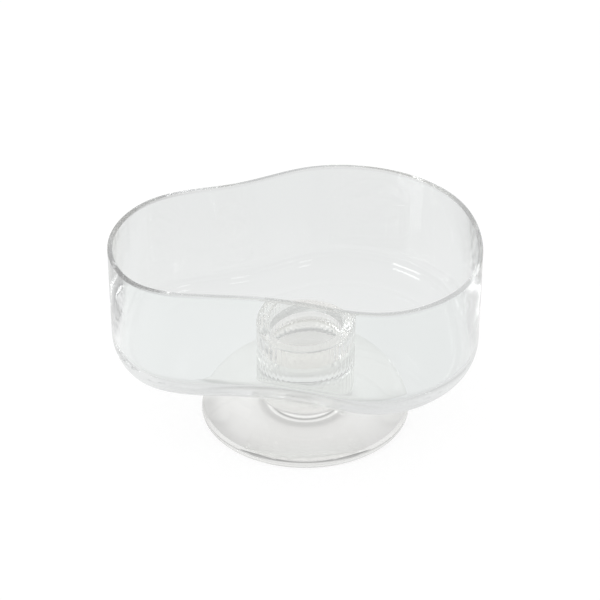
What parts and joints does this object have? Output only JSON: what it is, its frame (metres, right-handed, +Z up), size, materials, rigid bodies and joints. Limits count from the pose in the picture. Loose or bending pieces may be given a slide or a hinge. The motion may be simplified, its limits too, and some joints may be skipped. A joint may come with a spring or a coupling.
{
  "type": "floating candle bowl",
  "caption": "Open three-lobed glass bowl on a round foot, with a reeded glass cup for a tealight standing in its middle and carrying on below as the stem.",
  "frame": {"origin": "centre of the foot's underside, on the table, on the axis of the foot, stem and candle cup", "axes": "+Z up along the candle cup's axis; +X along the bowl's length, away from its single small lobe; +Y towards the lobe that is at the back in the picture"},
  "size_m": [0.2006, 0.152, 0.111],
  "materials": {
    "clear_glass": "polished",
    "clear_bond": "clear"
  },
  "bodies": {
    "root": {"bowl": "clear_glass", "candle_cup_stem": "clear_glass", "foot": "clear_glass", "bowl_bond_ring": "clear_bond", "foot_bond_film": "clear_bond"}
  },
  "joints": []
}
